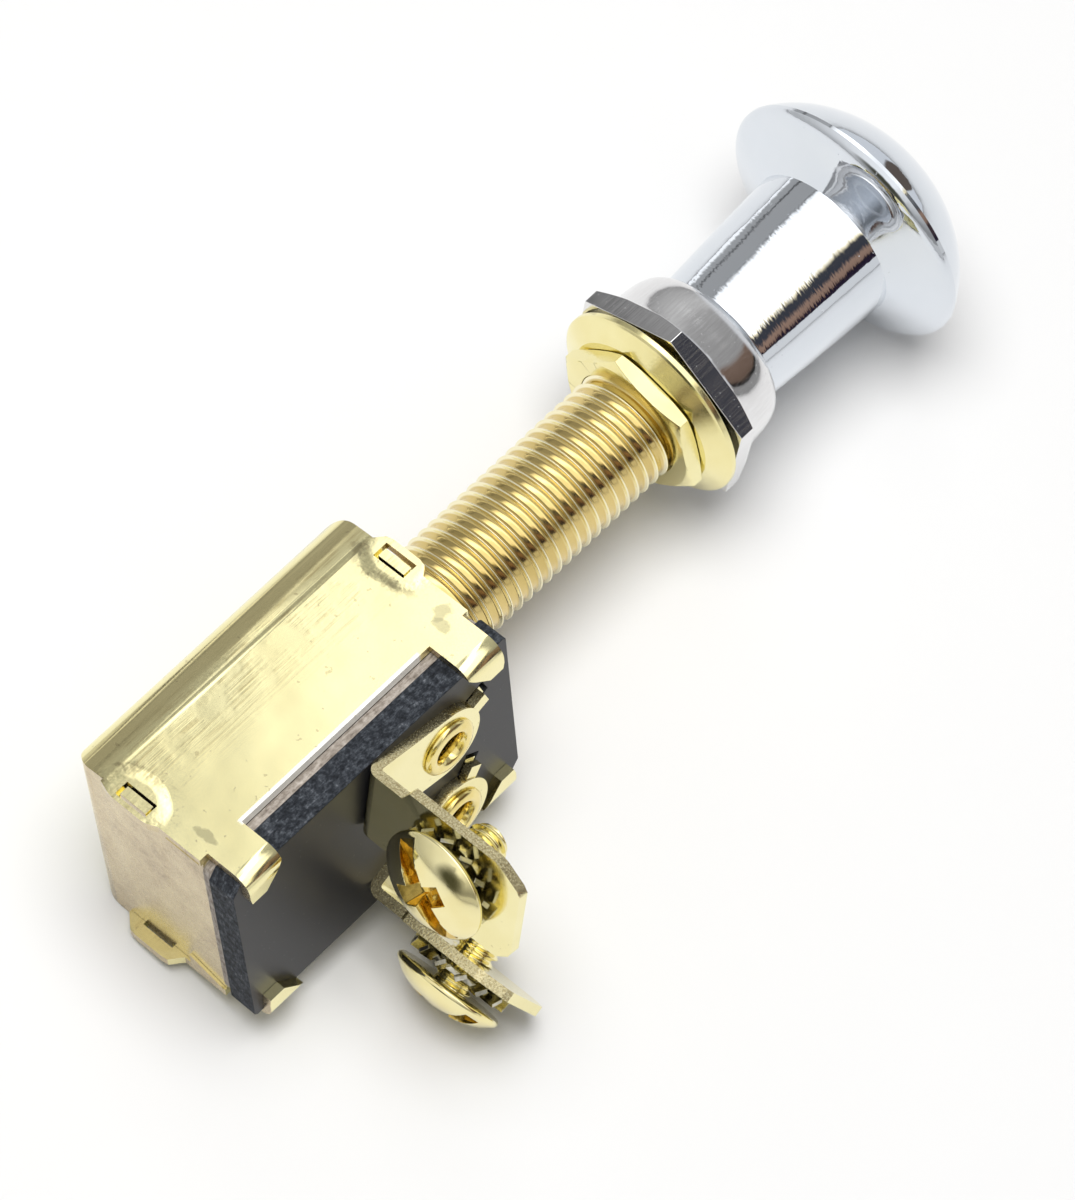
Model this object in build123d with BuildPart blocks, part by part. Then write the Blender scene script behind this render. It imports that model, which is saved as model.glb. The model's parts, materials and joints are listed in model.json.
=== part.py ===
from build123d import *
import os
from math import sin, cos, radians

# Push-pull switch, millimetres.
# Frame: origin on the bushing axis at the panel face (rear face of the dress nut).
# The knob points to -Y, the terminal board faces -X, the bright case top faces +Z.
# "u" below is the distance from the panel face toward the knob, so Y = -u.

# ---- driving dimensions ----
THREAD_R = 5.556          # 7/16 in bushing thread, outside radius
BORE_R = 2.43             # bushing bore
ROD_R = 2.38              # 3/16 in plunger rod
NUT_BORE_R = 5.60         # running fit on the bushing
BUSH_FRONT = 6.6

KNOB_BASE = 7.60
KNOB_RIM_U = 25.6
KNOB_RIM_R = 13.20
KNOB_TOP = 33.0

DRESS_R = 11.05           # hexagon corner radius (19.1 mm across flats)
DRESS_T = 2.13
DRESS_ANG = 41.5
COLLAR_END = 7.45

JAM_R = 8.26              # hexagon corner radius (14.3 mm across flats)
JAM_U0 = -3.87
JAM_U1 = -2.15
JAM_ANG = 20.35

WASHER_R = 10.10

CASE_Y0 = 32.60           # outer face of the front wall
CASE_Y1 = 65.25           # outer face of the rear wall
CASE_H = 11.90            # half height over the top and bottom walls
CASE_XD = 7.60            # outer face of the back wall
CASE_XO = -8.35           # open edge, toward the board
T = 0.95                  # sheet thickness
BEND_R = 2.1              # back wall to top and bottom walls
CROWN_X, CROWN_DZ = 3.9, 0.42   # the top and bottom walls ease down toward that bend
CORNER_R = 2.4            # back wall to end walls
SLIT = 0.05               # seam between top wall and end wall

SHEET_X0 = CASE_XO        # insulating sheet, inner face
SHEET_X1 = -9.25
BOARD_X1 = -12.17         # terminal board, outer face
BOARD_H = 10.92
BOARD_Y0 = 32.0
BOARD_Y1 = 65.6

TERM_T = 1.0
FOOT_R = 4.0
TAB_S = -9.83             # rear face of the upright tab, along the terminal
RIV_UP = (40.83, 4.80)    # rivet centres, (Y, Z)
RIV_LO = (40.83, -7.05)
FAN_UP = 13.0             # the two terminals are fanned apart
FAN_LO = -24.0
RIV_R = 2.2
RIV_IN = 1.55
RIV_FLANGE = 2.95

SCREW_UP = (1.0, 10.2, -11.1, -3.9)    # below the terminal's centre line, out from the board, head underside, tip
SCREW_LO = (0.6, 9.95, -12.1, -4.2)    # the lower screw is less far in
SCREW_R = 2.04            # no. 8 thread, outside radius
HEAD_R = 5.42
HEAD_H = 2.3

STRIP_T = 0.8             # fixed contact thickness


def ring(profile, axis=Axis.Y):
    """Closed polygon of (radius, u) points turned about the bushing axis."""
    with BuildPart() as p:
        with BuildSketch(Plane.XY):
            with BuildLine():
                Polyline(*[(r, -u) for r, u in profile], close=True)
            make_face()
        revolve(axis=axis)
    return p


def blk(x0, x1, y0, y1, z0, z1):
    """Plain block between two corners, kept outside the active builder."""
    b = Box(x1 - x0, y1 - y0, z1 - z0, mode=Mode.PRIVATE)
    return b.moved(Location(((x0 + x1) / 2, (y0 + y1) / 2, (z0 + z1) / 2)))


# ---- knob: one die casting, flared shank and mushroom head ----
with BuildPart() as knob:
    with BuildSketch(Plane.XY):
        with BuildLine():
            Polyline((0, -20.2), (2.42, -19.4), (2.42, -KNOB_BASE), (6.75, -KNOB_BASE), (6.95, -(KNOB_BASE + 0.2)))
            Spline((6.95, -(KNOB_BASE + 0.2)), (7.30, -12.8), (7.55, -17.2), (7.83, -22.52))
            Spline((7.83, -22.52), (10.3, -23.82), (12.35, -24.78), (KNOB_RIM_R, -KNOB_RIM_U), tangents=((2.05, -1.1), (0.25, -0.95)))
            Line((KNOB_RIM_R, -KNOB_RIM_U), (KNOB_RIM_R, -(KNOB_RIM_U + 0.35)))
            Spline((KNOB_RIM_R, -(KNOB_RIM_U + 0.35)), (12.0, -27.95), (10.0, -29.95), (7.0, -31.75),
                   (3.5, -32.75), (0, -KNOB_TOP), tangents=((-0.42, -0.9), (-1, 0)))
            Line((0, -KNOB_TOP), (0, -20.2))
        make_face()
    revolve(axis=Axis.Y)
knob.part.label = "knob"

# ---- plunger rod, stepped for the carriage and grooved for its clip ----
with BuildPart() as plunger_rod:
    with BuildSketch(Plane.XY):
        with BuildLine():
            Polyline((0, -19.2), (ROD_R - 0.4, -19.2), (ROD_R, -18.8), (ROD_R, 43.5), (1.9, 43.5), (1.9, 59.1),
                     (1.35, 59.1), (1.35, 59.9), (1.9, 59.9), (1.9, 60.9), (1.5, 61.3), (0, 61.3), close=True)
        make_face()
    revolve(axis=Axis.Y)
plunger_rod.part.label = "plunger_rod"

# ---- dress nut: thin hexagon with a rounded collar ----
with BuildPart() as dress_nut:
    with BuildSketch(Plane.XZ):
        RegularPolygon(DRESS_R, 6, rotation=DRESS_ANG)
    extrude(amount=DRESS_T)
    with BuildSketch(Plane.XY):
        with BuildLine():
            Polyline((0, -DRESS_T + 0.5), (9.25, -DRESS_T + 0.5), (9.25, -DRESS_T), (9.0, -3.2))
            Spline((9.0, -3.2), (8.88, -4.6), (8.62, -6.2), (8.25, -7.0), (7.75, -COLLAR_END))
            Polyline((7.75, -COLLAR_END), (0, -COLLAR_END), (0, -DRESS_T + 0.5))
        make_face()
    revolve(axis=Axis.Y)
    with BuildSketch(Plane.XZ.offset(-0.5)):
        Circle(NUT_BORE_R)
    extrude(amount=COLLAR_END + 1, mode=Mode.SUBTRACT)
    # the hexagon's outer face is turned off at its corners
    with BuildSketch(Plane.XY):
        with BuildLine():
            Polyline((9.75, -DRESS_T - 0.01), (11.6, -DRESS_T - 0.01), (11.6, -DRESS_T + 0.85), close=True)
        make_face()
    revolve(axis=Axis.Y, mode=Mode.SUBTRACT)
dress_nut.part.label = "dress_nut"

# ---- dished washer ----
with BuildPart() as panel_washer:
    with BuildSketch(Plane.XY):
        with BuildLine():
            Polyline((5.75, 2.10), (5.75, 1.30), (7.9, 1.25), (9.9, 0.32), (WASHER_R, 0.45), (WASHER_R, 0.95),
                     (9.9, 1.12), (7.9, 2.08), close=True)
        make_face()
    revolve(axis=Axis.Y)
    fillet(panel_washer.edges().filter_by(GeomType.CIRCLE).filter_by(lambda e: e.radius > 9.8), 0.08)
panel_washer.part.label = "panel_washer"

# ---- jam nut ----
with BuildPart() as jam_nut:
    with BuildSketch(Plane.XZ.offset(JAM_U0)):
        RegularPolygon(JAM_R, 6, rotation=JAM_ANG)
        Circle(NUT_BORE_R, mode=Mode.SUBTRACT)
    extrude(amount=JAM_U1 - JAM_U0)
    with BuildSketch(Plane.XY):
        with BuildLine():
            Polyline((7.15, -JAM_U0 + 0.01), (8.8, -JAM_U0 + 0.01), (8.8, -JAM_U0 - 0.62), close=True)
        make_face()
        with BuildLine():
            Polyline((7.15, -JAM_U1 - 0.01), (8.8, -JAM_U1 - 0.01), (8.8, -JAM_U1 + 0.5), close=True)
        make_face()
    revolve(axis=Axis.Y, mode=Mode.SUBTRACT)
jam_nut.part.label = "jam_nut"

# ---- threaded bushing, its neck staked through the front wall ----
with BuildPart() as bushing:
    with BuildSketch(Plane.XY):
        with BuildLine():
            Polyline((BORE_R, -BUSH_FRONT), (THREAD_R - 0.6, -BUSH_FRONT), (THREAD_R, -(BUSH_FRONT - 0.6)),
                     (THREAD_R, CASE_Y0), (4.5, CASE_Y0), (4.5, CASE_Y0 + T + 0.12), (4.9, CASE_Y0 + T + 0.14),
                     (4.75, CASE_Y0 + T + 0.5), (4.2, CASE_Y0 + T + 0.8), (BORE_R, CASE_Y0 + T + 0.8), close=True)
        make_face()
    revolve(axis=Axis.Y)
bushing.part.label = "bushing"

# ---- case: one folded sheet; back wall, top and bottom walls, two end walls ----
with BuildPart() as case:
    with BuildSketch(Plane.XZ.offset(-CASE_Y1)) as sec:
        with BuildLine():
            Polyline((CASE_XO, -CASE_H), (CROWN_X, -CASE_H), (CASE_XD, CROWN_DZ - CASE_H), (CASE_XD, CASE_H - CROWN_DZ),
                     (CROWN_X, CASE_H), (CASE_XO, CASE_H), close=True)
        make_face()
        fillet(sec.vertices().filter_by(lambda v: v.X > CASE_XD - 0.1), BEND_R)
        fillet(sec.vertices().filter_by(lambda v: abs(v.X - CROWN_X) < 0.01), 18)
    extrude(amount=CASE_Y1 - CASE_Y0)
    with BuildSketch(Plane.XY.offset(-CASE_H - 1)) as plan:
        with BuildLine():
            Polyline((CASE_XO - 1, CASE_Y0), (CASE_XD, CASE_Y0), (CASE_XD, CASE_Y1), (CASE_XO - 1, CASE_Y1), close=True)
        make_face()
        fillet(plan.vertices().filter_by(lambda v: v.X > 0), CORNER_R)
    extrude(amount=2 * CASE_H + 2, mode=Mode.INTERSECT)
    # inner space, the same shape one sheet smaller, open toward the board
    with BuildPart(mode=Mode.PRIVATE) as space:
        with BuildSketch(Plane.XZ.offset(-(CASE_Y1 - T))) as isec:
            with BuildLine():
                Polyline((CASE_XO - 2, -CASE_H + T), (CROWN_X, -CASE_H + T), (CASE_XD - T, CROWN_DZ - CASE_H + T),
                         (CASE_XD - T, CASE_H - CROWN_DZ - T), (CROWN_X, CASE_H - T), (CASE_XO - 2, CASE_H - T), close=True)
            make_face()
            fillet(isec.vertices().filter_by(lambda v: v.X > CASE_XD - T - 0.1), BEND_R - T)
            fillet(isec.vertices().filter_by(lambda v: abs(v.X - CROWN_X) < 0.01), 18)
        extrude(amount=CASE_Y1 - CASE_Y0 - 2 * T)
        with BuildSketch(Plane.XY.offset(-CASE_H - 1)) as iplan:
            with BuildLine():
                Polyline((CASE_XO - 3, CASE_Y0 + T), (CASE_XD - T, CASE_Y0 + T), (CASE_XD - T, CASE_Y1 - T),
                         (CASE_XO - 3, CASE_Y1 - T), close=True)
            make_face()
            fillet(iplan.vertices().filter_by(lambda v: v.X > 0), CORNER_R - T)
        extrude(amount=2 * CASE_H + 2, mode=Mode.INTERSECT)
    add(space.part, mode=Mode.SUBTRACT)
    for sg in (1, -1):
        zi, zo = CASE_H - T, CASE_H
        # seams: the end walls stand just under the top and bottom walls
        add(blk(CASE_XO - 1, 3.2, CASE_Y0 - 1, CASE_Y0 + T + 0.001, *sorted((sg * (zi - SLIT), sg * zi))), mode=Mode.SUBTRACT)
        add(blk(CASE_XO - 1, 3.2, CASE_Y1 - T - 0.001, CASE_Y1 + 1, *sorted((sg * (zi - SLIT), sg * zi))), mode=Mode.SUBTRACT)
        # the top and bottom walls run a little past the rear wall's face
        add(blk(CASE_XO, 3.0, CASE_Y1 - 0.01, CASE_Y1 + 0.25, *sorted((sg * zi, sg * zo))))
        # ears round the tab slots
        rear_out = 0.78 if sg > 0 else 1.55
        with BuildSketch(Plane.XY.offset(sg * zi)):
            with BuildLine():
                Polyline((3.5, CASE_Y0 + 0.6), (2.2, CASE_Y0 - 0.85), (1.5, CASE_Y0 - 1.05), (-1.7, CASE_Y0 - 1.05),
                         (-2.4, CASE_Y0 - 0.85), (-3.3, CASE_Y0 + 0.3), (-3.3, CASE_Y0 + 0.6), close=True)
            make_face()
            with BuildLine():
                Polyline((3.5, CASE_Y1 - 0.2), (3.5, CASE_Y1 + 0.25), (2.2, CASE_Y1 + rear_out - 0.1), (1.5, CASE_Y1 + rear_out),
                         (-1.7, CASE_Y1 + rear_out), (-2.4, CASE_Y1 + rear_out - 0.1), (-3.4, CASE_Y1 + 0.25),
                         (-3.4, CASE_Y1 - 0.2), close=True)
            make_face()
        extrude(amount=sg * T)
        # slots through the top and bottom walls, and the end walls' tabs standing in them
        add(blk(-1.9, 1.7, CASE_Y0 - 0.4, CASE_Y0 + 1.30, *sorted((sg * (zi - SLIT), sg * (zo + 1)))), mode=Mode.SUBTRACT)
        add(blk(-1.9, 1.7, CASE_Y1 - 1.18, CASE_Y1 + 0.32, *sorted((sg * (zi - SLIT), sg * (zo + 1)))), mode=Mode.SUBTRACT)
        add(blk(-1.62, 1.42, CASE_Y0, CASE_Y0 + T, *sorted((sg * (zi - 0.3), sg * (zo - 0.18)))))
        add(blk(-1.62, 1.42, CASE_Y1 - T, CASE_Y1, *sorted((sg * (zi - 0.3), sg * (zo - 0.18)))))
        # short lip pressed down over the rear wall beside the ear
        with BuildSketch(Plane.XZ.offset(-(CASE_Y1 + 0.3))):
            with BuildLine():
                Polyline((-4.2, sg * (zi + 0.1)), (-8.1, sg * (zi + 0.1)), (-8.1, sg * (zi - 0.1)), (-4.2, sg * (zi - 1.5)), close=True)
            make_face()
        extrude(amount=0.28)
        # crimp tabs: over the board's edge and down its face; the inner corner of each tip is cut away
        for y0, y1, tip_a, tip_b in ((60.44, 64.54, 62.7, 64.4), (33.30, 37.40, 33.5, 35.1)):
            with BuildSketch(Plane.XZ.offset(-y1)) as hook:
                with BuildLine():
                    Polyline((CASE_XO + 0.5, sg * zi), (BOARD_X1 - 0.02, sg * zi), (BOARD_X1 - 0.02, sg * 8.6),
                             (BOARD_X1 - 0.02 - T, sg * 8.6), (BOARD_X1 - 0.02 - T, sg * zo), (CASE_XO + 0.5, sg * zo), close=True)
                make_face()
                fillet(hook.vertices().filter_by(lambda v: v.X < BOARD_X1 - 0.5 and abs(v.Y) > zi + 0.5), 1.75)
            extrude(amount=y1 - y0)
            if tip_a > 50:
                cut_pts = ((y0 - 0.5, sg * 8.0), (y0 - 0.5, sg * 11.1), (y0, sg * 10.95), (tip_a, sg * 8.6), (tip_a, sg * 8.0))
                side_pts = ((y1 + 0.5, sg * 8.0), (y1 + 0.5, sg * 9.6), (y1, sg * 9.4), (tip_b, sg * 8.6), (tip_b, sg * 8.0))
            else:
                cut_pts = ((y1 + 0.5, sg * 8.0), (y1 + 0.5, sg * 11.1), (y1, sg * 10.95), (tip_b, sg * 8.6), (tip_b, sg * 8.0))
                side_pts = ((y0 - 0.5, sg * 8.0), (y0 - 0.5, sg * 9.6), (y0, sg * 9.4), (tip_a, sg * 8.6), (tip_a, sg * 8.0))
            for pts in (cut_pts, side_pts):
                with BuildSketch(Plane.YZ.offset(BOARD_X1 - 2)):
                    with BuildLine():
                        Polyline(*pts, close=True)
                    make_face()
                extrude(amount=1.999, mode=Mode.SUBTRACT)
    # hole for the bushing's neck
    with BuildSketch(Plane.XZ.offset(-(CASE_Y0 + T + 0.2))):
        Circle(4.52)
    extrude(amount=T + 0.4, mode=Mode.SUBTRACT)
case.part.label = "case"

# ---- insulating sheet and terminal board ----
with BuildPart() as insulating_sheet:
    with BuildSketch(Plane.YZ.offset(SHEET_X1)) as sk:
        with BuildLine():
            Polyline((BOARD_Y0 + 0.25, -BOARD_H + 0.1), (BOARD_Y1 - 0.2, -BOARD_H + 0.1), (BOARD_Y1 - 0.2, BOARD_H - 0.1),
                     (BOARD_Y0 + 0.25, BOARD_H - 0.1), close=True)
        make_face()
        fillet(sk.vertices(), 1.1)
        for (y, z) in (RIV_UP, RIV_LO):
            with Locations((y, z)):
                Circle(RIV_R + 0.03, mode=Mode.SUBTRACT)
    extrude(amount=SHEET_X0 - SHEET_X1)
insulating_sheet.part.label = "insulating_sheet"


def on_board(yz, fan, w=0.0):
    """Plane on the board face at a rivet: x along the terminal toward the knob, normal away from the board."""
    s, c = sin(radians(fan)), cos(radians(fan))
    return Plane(origin=(BOARD_X1 - w, yz[0], yz[1]), x_dir=(0, -c, -s), z_dir=(-1, 0, 0))


LUG = (4.05, 2.38)
with BuildPart() as terminal_board:
    with BuildSketch(Plane.YZ.offset(BOARD_X1)) as sk:
        with BuildLine():
            Polyline((BOARD_Y0, -BOARD_H + 1.3), (BOARD_Y0 + 1.1, -BOARD_H), (BOARD_Y1 - 0.3, -BOARD_H), (BOARD_Y1, -BOARD_H + 0.3),
                     (BOARD_Y1, BOARD_H - 1.1), (BOARD_Y1 - 0.9, BOARD_H), (BOARD_Y0 + 0.3, BOARD_H), (BOARD_Y0, BOARD_H - 0.3), close=True)
        make_face()
        for (y, z) in (RIV_UP, RIV_LO):
            with Locations((y, z)):
                Circle(RIV_R + 0.03, mode=Mode.SUBTRACT)
    extrude(amount=SHEET_X1 - BOARD_X1)
    for yz, fan in ((RIV_UP, FAN_UP), (RIV_LO, FAN_LO)):
        with BuildSketch(on_board(yz, fan, 0.5)):
            with Locations(Location((LUG[0] + 0.3, LUG[1] + 0.2, 0), (0, 0, 30))):
                Rectangle(2.2, 1.8)
        extrude(amount=-2.2, mode=Mode.SUBTRACT)
terminal_board.part.label = "terminal_board"


def make_terminal(yz, fan, screw, trim, label):
    """Strap terminal: round foot on the board, lug into the board, tab bent outward and widened for the screw."""
    base = on_board(yz, fan)
    x, n = base.x_dir, base.z_dir
    yv = n.cross(x)
    tab_plane = Plane(origin=base.origin + x * TAB_S, x_dir=yv, z_dir=x)   # local x along yv, local y out from the board
    with BuildPart() as p:
        with BuildSketch(base):
            Circle(FOOT_R)
            with Locations((TAB_S / 2, 0)):
                Rectangle(-TAB_S, 2 * FOOT_R)
        extrude(amount=TERM_T)
        with BuildSketch(tab_plane) as tab:
            with BuildLine():
                h = 18.1 - trim
                Polyline((-4.0, 0), (4.0, 0), (4.0, 4.35), (5.2, 5.1), (5.2, h - 3.1), (4.95, h - 2.4), (3.7, h - 0.45), (3.1, h),
                         (-4.4, h), (-5.0, h - 0.25), (-6.0, h - 1.4), (-6.2, h - 2.0), (-6.2, 5.6), (-5.9, 5.0), (-4.0, 4.35), close=True)
            make_face()
        extrude(amount=TERM_T)
        bends = p.edges().filter_by(lambda e: abs((e.center() - base.origin).dot(x) - TAB_S) < 0.01
                                    and abs((e.center() - base.origin).dot(n)) < 0.01 and e.length > 7)
        fillet(bends, 1.25)
        inner = p.edges().filter_by(lambda e: abs((e.center() - base.origin).dot(x) - (TAB_S + TERM_T)) < 0.01
                                    and abs((e.center() - base.origin).dot(n) - TERM_T) < 0.01 and e.length > 7)
        fillet(inner, 0.3)
        # locating lug, bent down into the board's slot
        with BuildSketch(base):
            with Locations(Location((LUG[0] - 0.25, LUG[1] - 0.1, 0), (0, 0, 30))):
                Rectangle(2.0, 1.4)
        extrude(amount=TERM_T - 0.12)
        with BuildSketch(base) as leg:
            with Locations(Location((LUG[0] + 0.4, LUG[1] + 0.28, 0), (0, 0, 30))):
                Rectangle(0.95, 1.4)
        extrude(amount=-1.5)
        # rivet hole and tapped screw hole
        with BuildSketch(base.offset(-0.5)):
            Circle(RIV_R + 0.03)
        extrude(amount=TERM_T + 1, mode=Mode.SUBTRACT)
        with BuildSketch(tab_plane.offset(-0.5)):
            with Locations((-screw[0], screw[1])):
                Circle(SCREW_R + 0.06)
        extrude(amount=TERM_T + 1, mode=Mode.SUBTRACT)
    p.part.label = label
    return p


terminal_upper = make_terminal(RIV_UP, FAN_UP, SCREW_UP, 0.0, "terminal_upper")
terminal_lower = make_terminal(RIV_LO, FAN_LO, SCREW_LO, 1.5, "terminal_lower")


def make_rivet(yz, label):
    """Tubular rivet through foot, board, sheet and fixed contact, rolled over at both ends."""
    x_out = BOARD_X1 - TERM_T
    x_in = CASE_XO + STRIP_T
    y, z = yz
    with BuildPart() as p:
        with BuildSketch(Plane.XY.offset(z)):
            with BuildLine():
                Polyline((x_out, y + RIV_R), (x_out, y + RIV_FLANGE - 0.1), (x_out - 0.18, y + RIV_FLANGE), (x_out - 0.45, y + 2.72),
                         (x_out - 0.62, y + 2.3), (x_out - 0.62, y + 2.0), (x_out - 0.45, y + 1.72), (x_out - 0.1, y + RIV_IN),
                         (x_in + 0.1, y + RIV_IN), (x_in + 0.45, y + 1.75), (x_in + 0.6, y + 2.05), (x_in + 0.6, y + 2.35),
                         (x_in + 0.4, y + 2.7), (x_in, y + 2.85), (x_in, y + RIV_R), close=True)
            make_face()
        revolve(axis=Axis((0, y, z), (1, 0, 0)))
    p.part.label = label
    return p


rivet_upper = make_rivet(RIV_UP, "rivet_upper")
rivet_lower = make_rivet(RIV_LO, "rivet_lower")


def make_strip(yz, label):
    """Fixed contact on the inner side of the sheet, reaching back to where the bridge slides."""
    y, z = yz
    with BuildPart() as p:
        with BuildSketch(Plane.YZ.offset(CASE_XO)) as sk:
            with BuildLine():
                Polyline((y - 3.3, z - 3.0), (y + 9.6, z - 3.0), (y + 9.6, z + 3.0), (y - 3.3, z + 3.0), close=True)
            make_face()
            fillet(sk.vertices(), 1.0)
            with Locations((y, z)):
                Circle(RIV_R + 0.03, mode=Mode.SUBTRACT)
        extrude(amount=STRIP_T)
        chamfer(p.edges().filter_by(lambda e: abs(e.center().X - (CASE_XO + STRIP_T)) < 0.01 and e.center().Y > y + 9.3 and e.length > 3), 0.5)
    p.part.label = label
    return p


contact_upper = make_strip(RIV_UP, "contact_upper")
contact_lower = make_strip(RIV_LO, "contact_lower")


def screw_plane(yz, fan, screw, s):
    """Plane across the screw's axis at distance s along the terminal; normal toward the knob."""
    base = on_board(yz, fan)
    x, n = base.x_dir, base.z_dir
    yv = n.cross(x)
    return Plane(origin=base.origin + x * s - yv * screw[0] + n * screw[1], x_dir=yv, z_dir=x)


def make_screw(yz, fan, screw, label, turn):
    """Truss head screw with a slot and a cross recess, head toward the rear."""
    pl = screw_plane(yz, fan, screw, screw[2])
    side = Plane(origin=pl.origin, x_dir=pl.x_dir, z_dir=pl.x_dir.cross(pl.z_dir))   # local x radial, local y along the axis
    back = -1 if side.y_dir.dot(pl.z_dir) > 0 else 1
    end = (screw[3] - screw[2])

    def across(depth, angle):
        """Plane across the axis, depth above the head's underside, turned about the axis."""
        a = radians(angle)
        return Plane(origin=pl.origin - pl.z_dir * depth, x_dir=pl.x_dir * cos(a) + pl.y_dir * sin(a), z_dir=pl.z_dir)

    with BuildPart() as p:
        with BuildSketch(side):
            with BuildLine():
                Polyline((0, -back * end), (SCREW_R - 0.45, -back * end), (SCREW_R, -back * (end - 0.5)), (SCREW_R, 0), (HEAD_R - 0.15, 0),
                         (HEAD_R, back * 0.15), (HEAD_R, back * 0.45), (HEAD_R - 0.12, back * 0.6))
                Spline((HEAD_R - 0.12, back * 0.6), (4.3, back * 1.36), (2.9, back * 1.93), (1.4, back * 2.22), (0, back * HEAD_H),
                       tangents=((-0.75, back * 0.66), (-1, 0)))
                Line((0, back * HEAD_H), (0, -back * end))
            make_face()
        revolve(axis=Axis(pl.origin, pl.z_dir))
        # slot right across, then the tapered cross
        with BuildSketch(across(HEAD_H + 0.2, turn)):
            Rectangle(2 * HEAD_R + 1, 1.75)
        extrude(amount=HEAD_H + 0.2 - 0.85, mode=Mode.SUBTRACT)
        for k in (0, 90):
            with BuildSketch(across(HEAD_H + 0.2, turn + k)):
                Rectangle(6.6, 2.3)
            with BuildSketch(across(0.6, turn + k)):
                Rectangle(2.4, 1.1)
            loft(mode=Mode.SUBTRACT)
    p.part.label = label
    return p


screw_upper = make_screw(RIV_UP, FAN_UP, SCREW_UP, "screw_upper", 141)
screw_lower = make_screw(RIV_LO, FAN_LO, SCREW_LO, "screw_lower", 63)


def make_lock_washer(yz, fan, screw, mid_s, lean, label):
    """External-tooth lock washer: flat ring, fourteen twisted teeth."""
    mid = screw_plane(yz, fan, screw, mid_s)
    with BuildPart() as p:
        with BuildSketch(mid.offset(-0.25)):
            Circle(3.75)
            Circle(SCREW_R + 0.12, mode=Mode.SUBTRACT)
        extrude(amount=0.5)
        for k in range(14):
            ang = k * 360 / 14
            tooth = Box(1.75, 1.15, 0.42, mode=Mode.PRIVATE)
            loc = mid.location * Location((0, 0, 0), (0, 0, ang)) * Location((4.25, 0, 0), (lean, 0, 0))
            add(tooth.moved(loc))
    p.part.label = label
    return p


lock_washer_upper = make_lock_washer(RIV_UP, FAN_UP, SCREW_UP, (SCREW_UP[2] + TAB_S) / 2, 34, "lock_washer_upper")
lock_washer_lower = make_lock_washer(RIV_LO, FAN_LO, SCREW_LO, TAB_S - 0.80, 50, "lock_washer_lower")

# ---- inside: sliding carriage, bridging contact, its spring, detent ball and spring, clip ----
CAR_Y0, CAR_Y1 = 43.5, 59.0
BR_Y = 55.6                # bridge centre, switch off
with BuildPart() as carriage:
    with BuildSketch(Plane.XZ.offset(-CAR_Y1)) as sk:
        with BuildLine():
            Polyline((-6.3, -10.2), (3.4, -10.2), (6.2, -7.4), (6.2, 7.4), (3.4, 10.2), (-6.3, 10.2), close=True)
        make_face()
        fillet(sk.vertices(), 0.5)
        Circle(1.93, mode=Mode.SUBTRACT)
    extrude(amount=CAR_Y1 - CAR_Y0)
    add(blk(-7, -5.2, BR_Y - 1.85, BR_Y + 1.85, -9.55, 9.55), mode=Mode.SUBTRACT)
    with BuildSketch(Plane.YZ.offset(-3.0)):
        with Locations((BR_Y, 0)):
            Circle(2.45)
    extrude(amount=-4, mode=Mode.SUBTRACT)
    with BuildSketch(Plane.YZ.offset(2.2)):
        with Locations((51.0, 0)):
            Circle(1.6)
    extrude(amount=5, mode=Mode.SUBTRACT)
carriage.part.label = "carriage"

with BuildPart() as bridge_contact:
    with BuildSketch(Plane.YZ.offset(-7.48)) as sk:
        with Locations((BR_Y, 0)):
            RectangleRounded(3.4, 18.6, 0.6)
    extrude(amount=0.9)
    for z in (-7.05, 4.8):
        with BuildSketch(Plane.YZ.offset(-7.48)):
            with Locations((BR_Y, z)):
                Circle(1.2)
        extrude(amount=-0.02)
bridge_contact.part.label = "bridge_contact"


def coil(r, wire, x0, x1, y, z, turns, label):
    """Closed-form compression spring along X."""
    with BuildPart() as p:
        h = Helix(pitch=(x1 - x0 - wire) / turns, height=(x1 - x0 - wire), radius=r,
                  center=(x0 + wire / 2, y, z), direction=(1, 0, 0))
        with BuildSketch(Plane(origin=h @ 0, z_dir=h % 0)):
            Circle(wire / 2)
        sweep(path=h)
    p.part.label = label
    return p


contact_spring = coil(1.85, 0.5, -6.55, -3.05, BR_Y, 0, 3.5, "contact_spring")
detent_spring = coil(1.2, 0.35, 2.25, 3.98, 51.0, 0, 2.5, "detent_spring")

with BuildPart() as detent_ball:
    with Locations((5.13, 51.0, 0)):
        Sphere(1.48)
detent_ball.part.label = "detent_ball"

with BuildPart() as retaining_clip:
    with BuildSketch(Plane.XZ.offset(-59.75)) as sk:
        Circle(3.4)
        Circle(1.37, mode=Mode.SUBTRACT)
        with Locations((0, -2.4)):
            Rectangle(2.2, 2.6, mode=Mode.SUBTRACT)
        for sx in (-1, 1):
            with Locations((sx * 2.2, -0.2)):
                Circle(0.55, mode=Mode.SUBTRACT)
    extrude(amount=0.6)
retaining_clip.part.label = "retaining_clip"

os.makedirs("parts", exist_ok=True)
PARTS = {
    "knob": knob, "plunger_rod": plunger_rod, "dress_nut": dress_nut, "panel_washer": panel_washer, "jam_nut": jam_nut,
    "bushing": bushing, "case": case, "insulating_sheet": insulating_sheet, "terminal_board": terminal_board,
    "terminal_upper": terminal_upper, "terminal_lower": terminal_lower, "rivet_upper": rivet_upper, "rivet_lower": rivet_lower,
    "contact_upper": contact_upper, "contact_lower": contact_lower, "screw_upper": screw_upper, "screw_lower": screw_lower,
    "lock_washer_upper": lock_washer_upper, "lock_washer_lower": lock_washer_lower, "carriage": carriage,
    "bridge_contact": bridge_contact, "contact_spring": contact_spring, "detent_spring": detent_spring,
    "detent_ball": detent_ball, "retaining_clip": retaining_clip,
}
for name, built in PARTS.items():
    built.part.label = name
    export_step(built.part, f"parts/{name}.step")
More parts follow.
